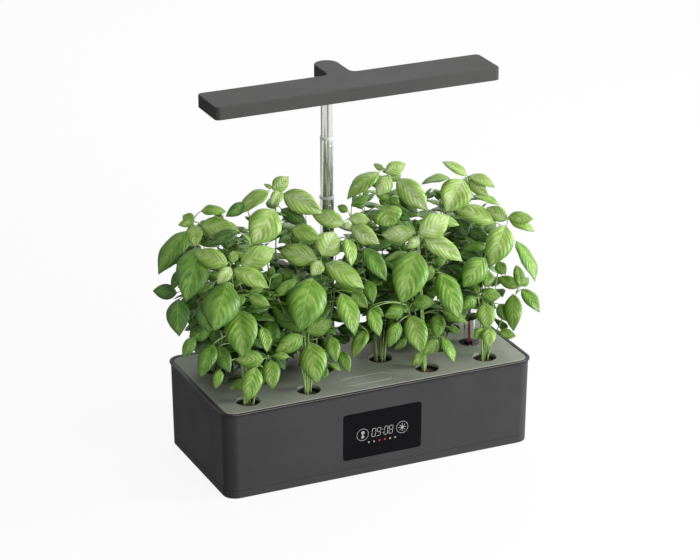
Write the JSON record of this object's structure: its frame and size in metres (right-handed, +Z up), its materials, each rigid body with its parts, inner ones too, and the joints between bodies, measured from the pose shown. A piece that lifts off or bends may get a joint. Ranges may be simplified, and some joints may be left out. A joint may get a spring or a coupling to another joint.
{
  "type": "countertop hydroponic garden",
  "caption": "Tabletop water garden: tapered dark tank housing with a flush pod deck of growing basil, a front touch display and a T-shaped LED lamp on a telescoping mast.",
  "frame": {"origin": "centre of the base's footprint, on the surface that the garden stands on", "axes": "+Z up, +X along the long side to the user's right, -Y the front with the touch panel"},
  "size_m": [0.524, 0.222, 0.466],
  "materials": {
    "housing": "satin",
    "rim": "satin",
    "deck": "matte",
    "tank_plastic": "satin",
    "rubber": "matte",
    "screw_steel": "satin",
    "black_plastic": "satin",
    "clear_plastic": "gloss",
    "red_plastic": "gloss",
    "float_foam": "matte",
    "filter_foam": "matte",
    "panel_glass": "gloss",
    "circuit_board": "satin",
    "mast_steel": "polished",
    "collar_plastic": "gloss",
    "button_steel": "polished",
    "lamp_housing": "satin",
    "lamp_tray": "satin",
    "led_board": "satin",
    "led_chip": "gloss",
    "basket": "satin",
    "peat": "matte",
    "leaf": "satin"
  },
  "bodies": {
    "root": {"base_pan": "housing", "rubber_feet": "rubber", "base_screws": "screw_steel", "outer_housing": "housing", "water_tank": "tank_plastic", "top_rim": "rim", "deck": "deck", "lid_pin": "screw_steel", "gauge_plug": "black_plastic", "gauge_tube": "clear_plastic", "pump_body": "black_plastic", "pump_filter": "filter_foam", "touch_glass": "panel_glass", "display_board": "circuit_board", "main_board": "circuit_board", "dc_jack": "black_plastic", "mast_socket": "black_plastic", "lower_tube": "mast_steel", "lower_collar": "collar_plastic", "sponges": "peat", "basket_01": "basket", "basil_01": "leaf", "basket_02": "basket", "basil_02": "leaf", "basket_03": "basket", "basil_03": "leaf", "basket_04": "basket", "basil_04": "leaf", "basket_05": "basket", "basil_05": "leaf", "basket_06": "basket", "basil_06": "leaf", "basket_07": "basket", "basil_07": "leaf", "basket_08": "basket", "basil_08": "leaf", "basket_09": "basket", "basil_09": "leaf", "basket_10": "basket", "basil_10": "leaf", "basket_11": "basket", "basil_11": "leaf", "basket_12": "basket", "basil_12": "leaf"},
    "middle_mast": {"middle_tube": "mast_steel", "upper_collar": "collar_plastic", "lower_spring": "screw_steel"},
    "lamp": {"upper_tube": "mast_steel", "upper_spring": "screw_steel", "neck_socket": "black_plastic", "lamp_cover": "lamp_housing", "lamp_tray": "lamp_tray", "led_board": "led_board", "led_chips": "led_chip", "lamp_screws": "screw_steel"},
    "lower_snap": {"lower_button": "button_steel"},
    "upper_snap": {"upper_button": "button_steel"},
    "lid": {"fill_lid": "deck"},
    "float": {"float_rod": "red_plastic", "float_block": "float_foam"}
  },
  "joints": [
    {"name": "mast_lower_slide", "type": "slide", "parent": "root", "child": "middle_mast", "axis": [0, 0, 1], "range_m": [-0.048, 0]},
    {"name": "mast_upper_slide", "type": "slide", "parent": "middle_mast", "child": "lamp", "axis": [0, 0, 1], "range_m": [-0.048, 0]},
    {"name": "lower_button_press", "type": "slide", "parent": "root", "child": "lower_snap", "axis": [0, 1, 0], "range_m": [0, 0.001], "stiffness_N_per_m": 300, "springref_m": -0.001},
    {"name": "upper_button_press", "type": "slide", "parent": "middle_mast", "child": "upper_snap", "axis": [0, 1, 0], "range_m": [0, 0.001], "stiffness_N_per_m": 300, "springref_m": -0.001},
    {"name": "fill_lid_hinge", "type": "hinge", "parent": "root", "child": "lid", "pos_m": [-0.027, -0.065, 0.1078], "axis": [0, -1, 0], "range_deg": [0, 75]},
    {"name": "float_rise", "type": "slide", "parent": "root", "child": "float", "axis": [0, 0, 1], "range_m": [-0.022, 0.008]}
  ]
}
